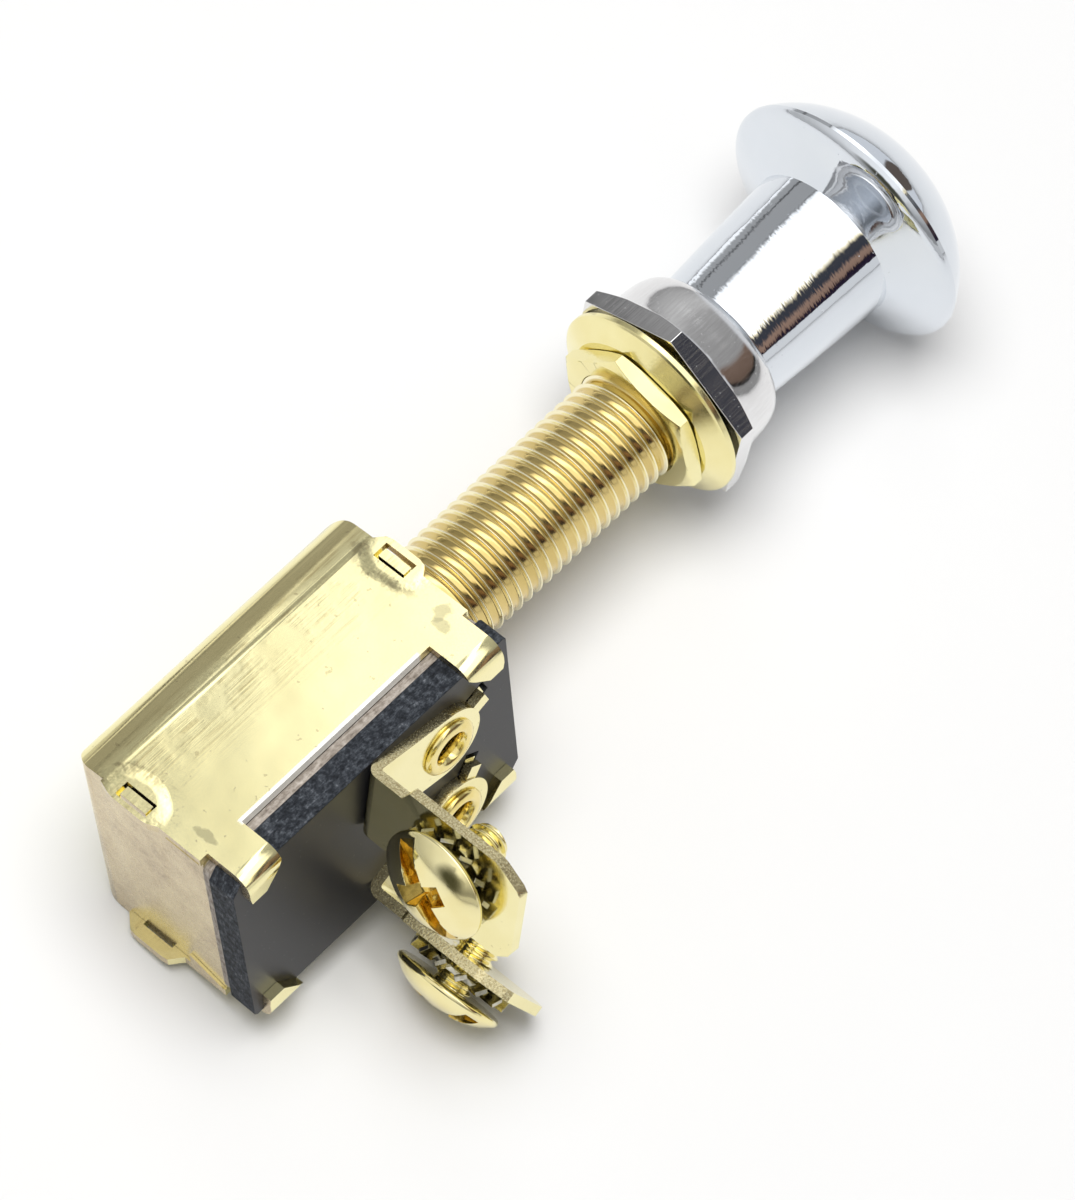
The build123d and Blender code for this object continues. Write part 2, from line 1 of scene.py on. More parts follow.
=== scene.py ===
import json
import math

import bpy
import bmesh
from mathutils import Matrix, Vector

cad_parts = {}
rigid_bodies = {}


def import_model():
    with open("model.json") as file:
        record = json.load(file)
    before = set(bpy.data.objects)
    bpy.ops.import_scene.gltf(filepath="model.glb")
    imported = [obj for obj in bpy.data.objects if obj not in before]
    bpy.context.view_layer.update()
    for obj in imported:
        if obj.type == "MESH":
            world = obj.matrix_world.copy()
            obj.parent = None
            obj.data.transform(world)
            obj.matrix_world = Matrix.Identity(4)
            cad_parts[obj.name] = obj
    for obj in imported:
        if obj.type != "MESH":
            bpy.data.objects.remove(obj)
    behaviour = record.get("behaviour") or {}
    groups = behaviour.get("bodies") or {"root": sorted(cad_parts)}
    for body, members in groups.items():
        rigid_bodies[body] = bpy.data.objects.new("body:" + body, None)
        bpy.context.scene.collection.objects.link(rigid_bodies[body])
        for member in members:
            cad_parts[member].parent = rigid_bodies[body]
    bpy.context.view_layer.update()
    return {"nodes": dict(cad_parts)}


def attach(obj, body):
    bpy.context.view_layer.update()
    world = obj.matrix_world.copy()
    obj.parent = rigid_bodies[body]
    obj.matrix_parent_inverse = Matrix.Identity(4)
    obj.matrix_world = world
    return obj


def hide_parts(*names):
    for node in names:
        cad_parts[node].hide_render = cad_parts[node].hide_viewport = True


for o in list(bpy.data.objects):
    bpy.data.objects.remove(o)

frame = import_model()
nodes = frame["nodes"]
scene = bpy.context.scene
MM = 0.001

# ------------------------------------------------------------------ camera
RIGHT = Vector((-0.731487, -0.680044, -0.049668))
DOWN = Vector((-0.557711, 0.638624, -0.530205))
FORWARD = Vector((0.392282, -0.360138, -0.846413))
EYE = Vector((-0.2144623, 0.2136179, 0.4484122))

cam_data = bpy.data.cameras.new("camera")
cam = bpy.data.objects.new("camera", cam_data)
scene.collection.objects.link(cam)
cam.matrix_world = Matrix((
    (RIGHT.x, -DOWN.x, -FORWARD.x, EYE.x),
    (RIGHT.y, -DOWN.y, -FORWARD.y, EYE.y),
    (RIGHT.z, -DOWN.z, -FORWARD.z, EYE.z),
    (0, 0, 0, 1)))
cam_data.sensor_fit = "VERTICAL"
cam_data.sensor_height = 36.0
cam_data.lens = 180.0
cam_data.clip_start = 0.01
cam_data.clip_end = 20.0
scene.camera = cam

# ------------------------------------------------------------------ floor, where the switch comes to rest
FLOOR_N = Vector((-0.21038, -0.00621, 0.97760)).normalized()
FLOOR_D = -13.09 * MM


def link(obj):
    scene.collection.objects.link(obj)
    return obj


def mesh_object(name, verts, faces, smooth=True):
    me = bpy.data.meshes.new(name)
    me.from_pydata([tuple(v) for v in verts], [], faces)
    me.validate()
    me.update()
    for p in me.polygons:
        p.use_smooth = smooth
    return link(bpy.data.objects.new(name, me))


fx = Vector((1, 0, 0)).cross(FLOOR_N).normalized()
fy = FLOOR_N.cross(fx)
fc = FLOOR_N * FLOOR_D
floor = mesh_object("floor", [fc + fx * a + fy * b for a, b in ((-4, -4), (4, -4), (4, 4), (-4, 4))], [(0, 1, 2, 3)], False)
if floor.data.polygons[0].normal.dot(FLOOR_N) < 0:
    floor.data.flip_normals()


# ------------------------------------------------------------------ shader helpers
def new_mat(name):
    m = bpy.data.materials.new(name)
    m.use_nodes = True
    nt = m.node_tree
    nt.nodes.clear()
    out = nt.nodes.new("ShaderNodeOutputMaterial")
    bsdf = nt.nodes.new("ShaderNodeBsdfPrincipled")
    nt.links.new(bsdf.outputs["BSDF"], out.inputs["Surface"])
    return m, nt, bsdf


def coords(nt, scale=(1, 1, 1)):
    tc = nt.nodes.new("ShaderNodeTexCoord")
    mp = nt.nodes.new("ShaderNodeMapping")
    mp.inputs["Scale"].default_value = scale
    nt.links.new(tc.outputs["Object"], mp.inputs["Vector"])
    return mp.outputs["Vector"]


def noise(nt, scale, detail=3.0, rough=0.55, stretch=(1, 1, 1)):
    n = nt.nodes.new("ShaderNodeTexNoise")
    n.inputs["Scale"].default_value = scale
    n.inputs["Detail"].default_value = detail
    n.inputs["Roughness"].default_value = rough
    nt.links.new(coords(nt, stretch), n.inputs["Vector"])
    return n.outputs["Fac"]


def ramp(nt, fac, stops, mode="LINEAR"):
    r = nt.nodes.new("ShaderNodeValToRGB")
    r.color_ramp.interpolation = mode
    els = r.color_ramp.elements
    while len(els) > 1:
        els.remove(els[-1])
    els[0].position = stops[0][0]
    els[0].color = (*stops[0][1], 1)
    for p, c in stops[1:]:
        e = els.new(p)
        e.color = (*c, 1)
    nt.links.new(fac, r.inputs["Fac"])
    return r.outputs["Color"]


def fmath(nt, op, a, b=None, c=None, clamp=False):
    n = nt.nodes.new("ShaderNodeMath")
    n.operation = op
    n.use_clamp = clamp
    for i, v in enumerate((a, b, c)):
        if v is None:
            continue
        if isinstance(v, (int, float)):
            n.inputs[i].default_value = v
        else:
            nt.links.new(v, n.inputs[i])
    return n.outputs["Value"]


def span(nt, value, a, b, to_a=0.0, to_b=1.0):
    n = nt.nodes.new("ShaderNodeMapRange")
    n.interpolation_type = "SMOOTHSTEP"
    nt.links.new(value, n.inputs["Value"])
    n.inputs["From Min"].default_value = a
    n.inputs["From Max"].default_value = b
    n.inputs["To Min"].default_value = to_a
    n.inputs["To Max"].default_value = to_b
    return n.outputs["Result"]


def mix_rgb(nt, fac, a, b):
    n = nt.nodes.new("ShaderNodeMix")
    n.data_type = "RGBA"
    ins = [s for s in n.inputs if s.enabled]
    for s, v in zip(ins, (fac, a, b)):
        if isinstance(v, tuple):
            s.default_value = (*v, 1)
        elif isinstance(v, (int, float)):
            s.default_value = v
        else:
            nt.links.new(v, s)
    return [s for s in n.outputs if s.enabled][0]


def bump(nt, bsdf, layers):
    """layers: list of (height, strength, distance in metres)."""
    prev = None
    for height, strength, dist in layers:
        b = nt.nodes.new("ShaderNodeBump")
        b.inputs["Strength"].default_value = strength
        b.inputs["Distance"].default_value = dist
        nt.links.new(height, b.inputs["Height"])
        if prev is not None:
            nt.links.new(prev, b.inputs["Normal"])
        prev = b.outputs["Normal"]
    nt.links.new(prev, bsdf.inputs["Normal"])


def xyz(nt):
    s = nt.nodes.new("ShaderNodeSeparateXYZ")
    tc = nt.nodes.new("ShaderNodeTexCoord")
    nt.links.new(tc.outputs["Object"], s.inputs["Vector"])
    return s.outputs["X"], s.outputs["Y"], s.outputs["Z"]


def nxyz(nt):
    s = nt.nodes.new("ShaderNodeSeparateXYZ")
    tc = nt.nodes.new("ShaderNodeTexCoord")
    nt.links.new(tc.outputs["Normal"], s.inputs["Vector"])
    return s.outputs["X"], s.outputs["Y"], s.outputs["Z"]


# ------------------------------------------------------------------ materials
def metal(name, pale, deep, rough, colour_scale=70, wave=(900, 0.10, 0.00002), fine=(6000, 0.06, 0.000004), rough_var=0.05, stretch=(1, 1, 1)):
    m, nt, b = new_mat(name)
    b.inputs["Metallic"].default_value = 1.0
    tone = noise(nt, colour_scale, 3.0)
    nt.links.new(ramp(nt, tone, [(0.30, deep), (0.62, pale)]), b.inputs["Base Color"])
    grain = noise(nt, fine[0], 4.0, 0.6, stretch)
    nt.links.new(span(nt, grain, 0.3, 0.75, rough - rough_var * 0.5, rough + rough_var), b.inputs["Roughness"])
    bump(nt, b, [(noise(nt, wave[0], 2.0), wave[1], wave[2]), (grain, fine[1], fine[2])])
    return m


pale_brass = metal("pale_brass", (0.91, 0.84, 0.47), (0.86, 0.77, 0.38), 0.17, 160, (900, 0.5, 0.00001), (7000, 0.5, 0.0000015), 0.08)
strap_brass = metal("strap_brass", (0.91, 0.84, 0.46), (0.85, 0.76, 0.37), 0.13, 140, (500, 0.6, 0.00002), (5200, 0.5, 0.0000018), 0.08)
def strap(name, fan):
    m, nt, b = new_mat(name)
    b.inputs["Metallic"].default_value = 1.0
    f = math.radians(fan)
    NX, NY, NZ = nxyz(nt)
    across = fmath(nt, "ABSOLUTE", fmath(nt, "ADD", fmath(nt, "MULTIPLY", NY, -math.sin(f)), fmath(nt, "MULTIPLY", NZ, math.cos(f))))
    cut = span(nt, across, 0.35, 0.60)
    col = ramp(nt, noise(nt, 140, 3.0), [(0.30, (0.86, 0.78, 0.40)), (0.62, (0.92, 0.85, 0.49))])
    grit = noise(nt, 5200, 3.0, 0.6)
    col = mix_rgb(nt, cut, col, ramp(nt, grit, [(0.38, (0.60, 0.50, 0.26)), (0.55, (0.86, 0.77, 0.46))]))
    spots = span(nt, noise(nt, 1500, 2.0, 0.4), 0.72, 0.745)
    col = mix_rgb(nt, fmath(nt, "MULTIPLY", spots, 0.5), col, (0.42, 0.34, 0.15))
    nt.links.new(col, b.inputs["Base Color"])
    grain = noise(nt, 5200, 4.0, 0.6)
    nt.links.new(fmath(nt, "ADD", span(nt, grain, 0.3, 0.75, 0.10, 0.19), fmath(nt, "MULTIPLY", cut, 0.10)), b.inputs["Roughness"])
    bump(nt, b, [(noise(nt, 500, 2.0), 0.7, 0.00002), (fmath(nt, "MULTIPLY", grit, cut), 1.0, 0.000022), (grain, 0.5, 0.000002)])
    return m


strap_upper_mat = strap("strap_upper", 13.0)
strap_lower_mat = strap("strap_lower", -24.0)
# bushing thread: golden roots, paler crests
thread_brass, nt, b = new_mat("thread_brass")
b.inputs["Metallic"].default_value = 1.0
X, Y, Z = xyz(nt)
rad = fmath(nt, "SQRT", fmath(nt, "ADD", fmath(nt, "MULTIPLY", X, X), fmath(nt, "MULTIPLY", Z, Z)))
root_col = ramp(nt, noise(nt, 220, 3.0), [(0.30, (0.62, 0.47, 0.17)), (0.62, (0.71, 0.55, 0.22))])
nt.links.new(mix_rgb(nt, span(nt, rad, 0.00517, 0.00534), root_col, (0.92, 0.86, 0.60)), b.inputs["Base Color"])
grain = noise(nt, 6000, 4.0, 0.6)
nt.links.new(span(nt, grain, 0.3, 0.75, 0.10, 0.19), b.inputs["Roughness"])
bump(nt, b, [(noise(nt, 700, 2.0), 0.5, 0.000008), (grain, 0.4, 0.000001)])
rivet_brass = metal("rivet_brass", (0.88, 0.75, 0.34), (0.80, 0.64, 0.22), 0.13, 400, (1500, 0.5, 0.000006), (7000, 0.3, 0.000001), 0.05)
screw_brass = metal("screw_brass", (0.91, 0.83, 0.47), (0.86, 0.75, 0.36), 0.09, 200, (330, 0.6, 0.00003), (5000, 0.3, 0.000001), 0.05)
# painted shade: a darker, deeper gold for the faces inside the screw heads' recesses
recess_shade_brass = metal("recess_shade_brass", (0.84, 0.60, 0.15), (0.40, 0.27, 0.05), 0.14, 900, (1500, 0.7, 0.00002), (5000, 0.5, 0.000002), 0.08)

# chrome over a die casting: long soft waves everywhere, fine ripples in patches, a few pits
chrome, nt, b = new_mat("chrome")
b.inputs["Metallic"].default_value = 1.0
nt.links.new(ramp(nt, noise(nt, 90, 3.0), [(0.3, (0.70, 0.74, 0.79)), (0.7, (0.745, 0.78, 0.825))]), b.inputs["Base Color"])
nt.links.new(span(nt, noise(nt, 1500, 3.0), 0.35, 0.7, 0.025, 0.055), b.inputs["Roughness"])
patch = span(nt, noise(nt, 150, 2.0), 0.48, 0.66)
ripple = fmath(nt, "MULTIPLY", noise(nt, 1300, 2.0, 0.5), patch)
X, Y, Z = xyz(nt)
near = fmath(nt, "MULTIPLY", span(nt, Y, -0.0225, -0.016, 0.35, 1.0), span(nt, Y, -0.0245, -0.0225))
comb = fmath(nt, "MULTIPLY", noise(nt, 1.0, 2.5, 0.6, (420, 3000, 420)), near)
pit = span(nt, noise(nt, 1900, 1.0, 0.4), 0.775, 0.80)
bump(nt, b, [(noise(nt, 170, 1.5), 1.0, 0.000035), (comb, 1.0, 0.000011), (ripple, 1.0, 0.000013), (pit, 0.8, -0.00002)])

# chrome on the turned nut: fine lines along the axis, small pits
chrome_nut, nt, b = new_mat("chrome_nut")
b.inputs["Metallic"].default_value = 1.0
lines = noise(nt, 1.0, 3.0, 0.6, (5200, 130, 5200))
nt.links.new(ramp(nt, lines, [(0.3, (0.74, 0.735, 0.74)), (0.7, (0.82, 0.82, 0.825))]), b.inputs["Base Color"])
nt.links.new(span(nt, lines, 0.3, 0.7, 0.06, 0.13), b.inputs["Roughness"])
speck = span(nt, noise(nt, 3800, 1.0, 0.4), 0.76, 0.79)
bump(nt, b, [(noise(nt, 200, 1.5), 0.6, 0.00003), (lines, 0.7, 0.000003), (speck, 0.8, -0.000015)])
tooth_steel = metal("tooth_steel", (0.62, 0.60, 0.50), (0.36, 0.34, 0.26), 0.20, 700, (2500, 0.2, 0.00002), (9000, 0.12, 0.000004), 0.08)
steel = metal("steel", (0.60, 0.60, 0.61), (0.50, 0.50, 0.51), 0.25, 300)

# case sheet: pale plated brass, drawn streaks beside the bend, the metal marked round the tab slots
case_mat, nt, b = new_mat("case_brass")
b.inputs["Metallic"].default_value = 1.0
X, Y, Z = xyz(nt)
NX, NY, NZ = nxyz(nt)
flat = span(nt, fmath(nt, "ABSOLUTE", NZ), 0.80, 0.95)
endw = span(nt, fmath(nt, "ABSOLUTE", NY), 0.75, 0.95)
tone = noise(nt, 90, 3.0)
col = ramp(nt, tone, [(0.25, (0.90, 0.82, 0.44)), (0.6, (0.95, 0.88, 0.50))])
streak = noise(nt, 1.0, 4.0, 0.62, (3600, 150, 3600))
zone = fmath(nt, "MULTIPLY", span(nt, X, -0.0040, 0.0016), span(nt, X, 0.0060, 0.0040))
cloud = span(nt, noise(nt, 260, 3.0), 0.38, 0.60)
amt = fmath(nt, "MULTIPLY", fmath(nt, "MULTIPLY", zone, cloud), flat)
lines = span(nt, streak, 0.45, 0.62)
col = mix_rgb(nt, fmath(nt, "MULTIPLY", fmath(nt, "MULTIPLY", amt, lines), 0.65), col, (0.60, 0.50, 0.24))
# painted shade: a soft brown band where the sheet turns down to the bend
bend_shade_band = fmath(nt, "MULTIPLY", fmath(nt, "MULTIPLY", span(nt, X, 0.0036, 0.0050), span(nt, X, 0.0074, 0.0062)), flat)
col = mix_rgb(nt, fmath(nt, "MULTIPLY", bend_shade_band, 0.42), col, (0.55, 0.44, 0.19))
# end walls are duller (rougher) and painted darker as shade, mottled with scuffs
scuff = fmath(nt, "ADD", fmath(nt, "MULTIPLY", noise(nt, 210, 4.0, 0.65), 0.7), fmath(nt, "MULTIPLY", noise(nt, 1500, 3.0), 0.3))
end_wall_shade_col = ramp(nt, scuff, [(0.30, (0.36, 0.28, 0.18)), (0.45, (0.56, 0.46, 0.30)), (0.66, (0.68, 0.58, 0.38))])
col = mix_rgb(nt, endw, col, end_wall_shade_col)
# painted highlight: a near-white strip, mostly not metallic, along the sheet's open cut edge
cut = fmath(nt, "MULTIPLY", fmath(nt, "MULTIPLY", span(nt, X, -0.00792, -0.00806), span(nt, X, -0.00875, -0.00850)),
            fmath(nt, "MULTIPLY", span(nt, Y, 0.0384, 0.0388), span(nt, Y, 0.0608, 0.0604)))
col = mix_rgb(nt, cut, col, (0.95, 0.945, 0.90))
nt.links.new(fmath(nt, "SUBTRACT", 1.0, fmath(nt, "MULTIPLY", cut, 0.9)), b.inputs["Metallic"])
# tarnish smudges round the slots
smudge = None
dent = None
for sx, sy in ((-0.0001, 0.0328), (0.0002, 0.0650)):
    dx = fmath(nt, "MULTIPLY", fmath(nt, "SUBTRACT", X, sx), 1.0 / 0.0026)
    dy = fmath(nt, "MULTIPLY", fmath(nt, "SUBTRACT", Y, sy), 1.0 / 0.0019)
    r = fmath(nt, "SQRT", fmath(nt, "ADD", fmath(nt, "MULTIPLY", dx, dx), fmath(nt, "MULTIPLY", dy, dy)))
    r = fmath(nt, "ADD", r, fmath(nt, "MULTIPLY", fmath(nt, "SUBTRACT", noise(nt, 420, 3.0), 0.5), 0.45))
    h = span(nt, r, 1.55, 0.9)
    ringm = fmath(nt, "MULTIPLY", span(nt, r, 1.0, 1.35), span(nt, r, 2.0, 1.5))
    dent = h if dent is None else fmath(nt, "ADD", dent, h)
    smudge = ringm if smudge is None else fmath(nt, "ADD", smudge, ringm)
patchy = span(nt, noise(nt, 520, 4.0, 0.65), 0.50, 0.60)
col = mix_rgb(nt, fmath(nt, "MULTIPLY", fmath(nt, "MULTIPLY", fmath(nt, "MULTIPLY", smudge, patchy), flat), 0.55), col, (0.36, 0.31, 0.17))
# finger-sized smears of tarnish on the two tabs nearest the board
for sx, sy, ax, ay in ((-0.0077, 0.0352, 0.0010, 0.0007), (-0.0068, 0.0342, 0.0007, 0.0011), (-0.0070, 0.0634, 0.0012, 0.0005)):
    dx = fmath(nt, "MULTIPLY", fmath(nt, "SUBTRACT", X, sx), 1.0 / ax)
    dy = fmath(nt, "MULTIPLY", fmath(nt, "SUBTRACT", Y, sy), 1.0 / ay)
    r = fmath(nt, "SQRT", fmath(nt, "ADD", fmath(nt, "MULTIPLY", dx, dx), fmath(nt, "MULTIPLY", dy, dy)))
    r = fmath(nt, "ADD", r, fmath(nt, "MULTIPLY", fmath(nt, "SUBTRACT", noise(nt, 1100, 3.0), 0.5), 1.6))
    col = mix_rgb(nt, fmath(nt, "MULTIPLY", fmath(nt, "MULTIPLY", span(nt, r, 1.15, 0.75), flat), 0.6), col, (0.40, 0.37, 0.22))
spots = span(nt, noise(nt, 1300, 2.0, 0.4), 0.715, 0.74)
col = mix_rgb(nt, fmath(nt, "MULTIPLY", spots, 0.45), col, (0.45, 0.37, 0.2))
nt.links.new(col, b.inputs["Base Color"])
grain = noise(nt, 5200, 4.0, 0.6)
nt.links.new(fmath(nt, "ADD", span(nt, grain, 0.3, 0.75, 0.12, 0.20), fmath(nt, "MULTIPLY", endw, 0.12)), b.inputs["Roughness"])
bump(nt, b, [(dent, 0.35, 0.00018), (noise(nt, 150, 1.5), 0.8, 0.00004), (fmath(nt, "MULTIPLY", amt, streak), 1.0, 0.000008), (grain, 0.4, 0.000001)])

# board: black laminate, satin on its face, broken and fibrous on its cut edges
board_mat, nt, b = new_mat("board_black")
X, Y, Z = xyz(nt)
NX, NY, NZ = nxyz(nt)
edge = span(nt, fmath(nt, "ABSOLUTE", NX), 0.75, 0.45)
fibre = noise(nt, 1.0, 6.0, 0.72, (4200, 1500, 1500))
chunks = noise(nt, 1700, 5.0, 0.7)
rough_tex = fmath(nt, "ADD", fmath(nt, "MULTIPLY", fibre, 0.5), fmath(nt, "MULTIPLY", chunks, 0.5))
edge_col = ramp(nt, rough_tex, [(0.36, (0.006, 0.007, 0.009)), (0.48, (0.026, 0.030, 0.037)), (0.58, (0.080, 0.090, 0.105)), (0.68, (0.24, 0.255, 0.28))])
speck = span(nt, noise(nt, 2600, 2.0, 0.5), 0.70, 0.74)
face_col = mix_rgb(nt, fmath(nt, "MULTIPLY", speck, 0.5), (0.014, 0.014, 0.017), (0.08, 0.08, 0.08))
nt.links.new(mix_rgb(nt, edge, face_col, edge_col), b.inputs["Base Color"])
b.inputs["Specular IOR Level"].default_value = 0.36
nt.links.new(span(nt, edge, 0, 1, 0.36, 0.85), b.inputs["Roughness"])
bump(nt, b, [(fmath(nt, "MULTIPLY", rough_tex, edge), 1.0, 0.00045), (noise(nt, 3000, 3.0), 0.3, 0.000002)])

# fibre sheet
fibre_mat, nt, b = new_mat("fibre_sheet")
f1 = noise(nt, 1.0, 5.0, 0.7, (5000, 900, 900))
f2 = noise(nt, 1500, 5.0, 0.7)
f = fmath(nt, "ADD", fmath(nt, "MULTIPLY", f1, 0.5), fmath(nt, "MULTIPLY", f2, 0.5))
nt.links.new(ramp(nt, f, [(0.36, (0.13, 0.105, 0.085)), (0.5, (0.33, 0.29, 0.25)), (0.64, (0.55, 0.50, 0.45))]), b.inputs["Base Color"])
b.inputs["Roughness"].default_value = 0.85
bump(nt, b, [(f, 0.8, 0.00012)])

# moulded carriage
mould_mat, nt, b = new_mat("moulding")
nt.links.new(ramp(nt, noise(nt, 600, 3.0), [(0.3, (0.02, 0.012, 0.008)), (0.7, (0.045, 0.028, 0.02))]), b.inputs["Base Color"])
b.inputs["Roughness"].default_value = 0.45
bump(nt, b, [(noise(nt, 3000, 3.0), 0.2, 0.00001)])

# floor
floor_mat, nt, b = new_mat("floor_white")
nt.links.new(ramp(nt, noise(nt, 40, 3.0), [(0.3, (0.797, 0.80, 0.804)), (0.7, (0.803, 0.806, 0.81))]), b.inputs["Base Color"])
b.inputs["Roughness"].default_value = 0.75
b.inputs["Specular IOR Level"].default_value = 0.2
floor.data.materials.append(floor_mat)

for name, m in dict(knob=chrome, dress_nut=chrome_nut, panel_washer=pale_brass, jam_nut=pale_brass, case=case_mat,
                    insulating_sheet=fibre_mat, terminal_board=board_mat, terminal_upper=strap_upper_mat, terminal_lower=strap_lower_mat,
                    contact_upper=strap_brass, contact_lower=strap_brass, lock_washer_upper=tooth_steel, lock_washer_lower=tooth_steel,
                    carriage=mould_mat, bridge_contact=strap_brass, contact_spring=steel, detent_spring=steel, detent_ball=steel,
                    retaining_clip=steel, plunger_rod=steel, bushing=thread_brass, rivet_upper=rivet_brass, rivet_lower=rivet_brass,
                    screw_upper=screw_brass, screw_lower=screw_brass).items():
    o = nodes[name]
    if o.data.materials:
        o.data.materials[0] = m
    else:
        o.data.materials.append(m)


# ------------------------------------------------------------------ edges of stamped and cut parts are slightly broken
def soften(node, width, angle=35, segments=2):
    o = nodes[node]
    w = o.modifiers.new("weld", "WELD")
    w.merge_threshold = 1e-6
    bv = o.modifiers.new("edges", "BEVEL")
    bv.width = width * MM
    bv.segments = segments
    bv.limit_method = "ANGLE"
    bv.angle_limit = math.radians(angle)
    bv.use_clamp_overlap = True
    bv.harden_normals = True


soften("terminal_upper", 0.10)
soften("terminal_lower", 0.10)
soften("jam_nut", 0.10, 20)
soften("dress_nut", 0.07, 20)
soften("lock_washer_upper", 0.07)
soften("lock_washer_lower", 0.07)
soften("terminal_board", 0.06)
soften("case", 0.30, 40, 3)
soften("insulating_sheet", 0.05, 40, 1)


# ------------------------------------------------------------------ turned and threaded pieces
def local_frame(origin, axis):
    """Matrix whose local z runs along axis, from origin (mm)."""
    z = Vector(axis).normalized()
    x = Vector((0, 0, 1)) if abs(z.z) < 0.9 else Vector((1, 0, 0))
    x = (x - z * x.dot(z)).normalized()
    y = z.cross(x)
    o = Vector(origin) * MM
    return Matrix(((x.x, y.x, z.x, o.x), (x.y, y.y, z.y, o.y), (x.z, y.z, z.z, o.z), (0, 0, 0, 1)))


def lathe(name, rows, seg, mat_world, close=False):
    """rows: list of functions theta -> (radius, z) in mm. Rows are joined in order into one surface."""
    verts, faces = [], []
    for row in rows:
        for k in range(seg):
            th = 2 * math.pi * k / seg
            r, z = row(th)
            verts.append(mat_world @ Vector((r * math.cos(th) * MM, r * math.sin(th) * MM, z * MM)))
    n = len(rows)
    last = n if close else n - 1
    for i in range(last):
        j = (i + 1) % n
        for k in range(seg):
            k2 = (k + 1) % seg
            faces.append((i * seg + k, i * seg + k2, j * seg + k2, j * seg + k))
    o = mesh_object(name, verts, faces)
    bm = bmesh.new()
    bm.from_mesh(o.data)
    bmesh.ops.remove_doubles(bm, verts=bm.verts, dist=1e-7)
    bmesh.ops.recalc_face_normals(bm, faces=bm.faces)
    if bm.calc_volume(signed=True) < 0:
        bmesh.ops.reverse_faces(bm, faces=bm.faces)
    bm.to_mesh(o.data)
    bm.free()
    for p in o.data.polygons:
        p.use_smooth = True
    return o


def const(r, z):
    return lambda th: (r, z)


# one pitch of the thread: (part of a pitch, height); narrow crests, wide smooth roots
WIDE = ((0.0, 1.0), (0.025, 0.985), (0.05, 0.92), (0.072, 0.79), (0.095, 0.60), (0.125, 0.39), (0.165, 0.19), (0.215, 0.065), (0.28, 0.012), (0.38, 0.0), (0.5, 0.0))
VEE = ((0.0, 1.0), (0.05, 0.98), (0.10, 0.84), (0.20, 0.55), (0.30, 0.26), (0.38, 0.07), (0.44, 0.01), (0.5, 0.0))


def threaded(name, mat_world, pre, z0, z1, major, depth, pitch, half, lead_in, lead_out, post, seg):
    """Turned piece with a helical thread from z0 to z1 (mm). Mesh lines follow the helix."""
    prof = list(half) + [(1.0 - a, h) for a, h in reversed(half[1:-1])]
    low = major - depth
    grid = [[(r, z)] * (seg + 1) for r, z in pre]
    turns = int(math.ceil((z1 - z0) / pitch)) + 1
    for k in range(-1, turns + 1):
        for a, h in prof:
            row = []
            for c in range(seg + 1):
                z = z0 + (k + a + c / seg) * pitch
                zc = min(max(z, z0), z1)
                r = major - depth * (1 - h)
                r = min(r, low + depth * (zc - z0) / lead_in, low + depth * (z1 - zc) / lead_out)
                row.append((max(r, low), zc))
            grid.append(row)
    grid += [[(r, z)] * (seg + 1) for r, z in post]
    verts, faces = [], []
    for row in grid:
        for c, (r, z) in enumerate(row):
            th = 2 * math.pi * (c % seg) / seg
            verts.append(mat_world @ Vector((r * math.cos(th) * MM, r * math.sin(th) * MM, z * MM)))
    w = seg + 1
    n = len(grid)
    closed = grid[0][0][0] > 0.01 and grid[-1][0][0] > 0.01 and name != "shank"
    for i in range(n if closed else n - 1):
        j = (i + 1) % n
        for c in range(seg):
            faces.append((i * w + c, i * w + c + 1, j * w + c + 1, j * w + c))
    o = mesh_object(name, verts, faces)
    bm = bmesh.new()
    bm.from_mesh(o.data)
    bmesh.ops.remove_doubles(bm, verts=bm.verts, dist=1e-7)
    bmesh.ops.dissolve_degenerate(bm, edges=bm.edges, dist=1e-7)
    bmesh.ops.recalc_face_normals(bm, faces=bm.faces)
    if closed and bm.calc_volume(signed=True) < 0:
        bmesh.ops.reverse_faces(bm, faces=bm.faces)
    bm.to_mesh(o.data)
    bm.free()
    for p in o.data.polygons:
        p.use_smooth = True
    return o


# bushing: local z runs to +Y (toward the case)
CASE_Y0 = 32.60
T = 0.95
bush = threaded("threaded_bushing", local_frame((0, 0, 0), (0, 1, 0)), [(2.43, -6.6), (4.7, -6.6)], -6.6, 32.0, 5.553, 0.42, 1.27, WIDE, 0.8, 0.5,
                [(5.03, 32.05), (5.03, CASE_Y0), (4.5, CASE_Y0), (4.5, CASE_Y0 + T + 0.12), (4.88, CASE_Y0 + T + 0.14),
                 (4.72, CASE_Y0 + T + 0.5), (4.2, CASE_Y0 + T + 0.78), (2.43, CASE_Y0 + T + 0.78)], 120)
bush.data.set_sharp_from_angle(angle=math.radians(50))
bush.data.materials.append(thread_brass)
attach(bush, "root")
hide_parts("bushing")

# terminals' frames, as in the model
BX = -12.17
RIV_UP, RIV_LO = (40.83, 4.80), (40.83, -7.05)
FAN_UP, FAN_LO = 13.0, -24.0
SCREW_UP, SCREW_LO = (1.0, 10.2, -11.1, -3.9), (0.6, 9.95, -12.1, -4.2)


def along(fan):
    f = math.radians(fan)
    return Vector((0, -math.cos(f), -math.sin(f))), Vector((0, -math.sin(f), math.cos(f)))


def screw_point(yz, fan, screw, s):
    d, yv = along(fan)
    return Vector((BX, yz[0], yz[1])) + d * s - yv * screw[0] + Vector((-1, 0, 0)) * screw[1]


def dome(r):
    """Height of the screw head's outer surface above its underside (mm)."""
    pts = ((0.0, 2.3), (1.4, 2.22), (2.9, 1.93), (4.3, 1.36), (5.3, 0.6), (6.0, 0.0))
    for (r0, h0), (r1, h1) in zip(pts, pts[1:]):
        if r <= r1:
            return h0 + (h1 - h0) * (r - r0) / (r1 - r0)
    return 0.0


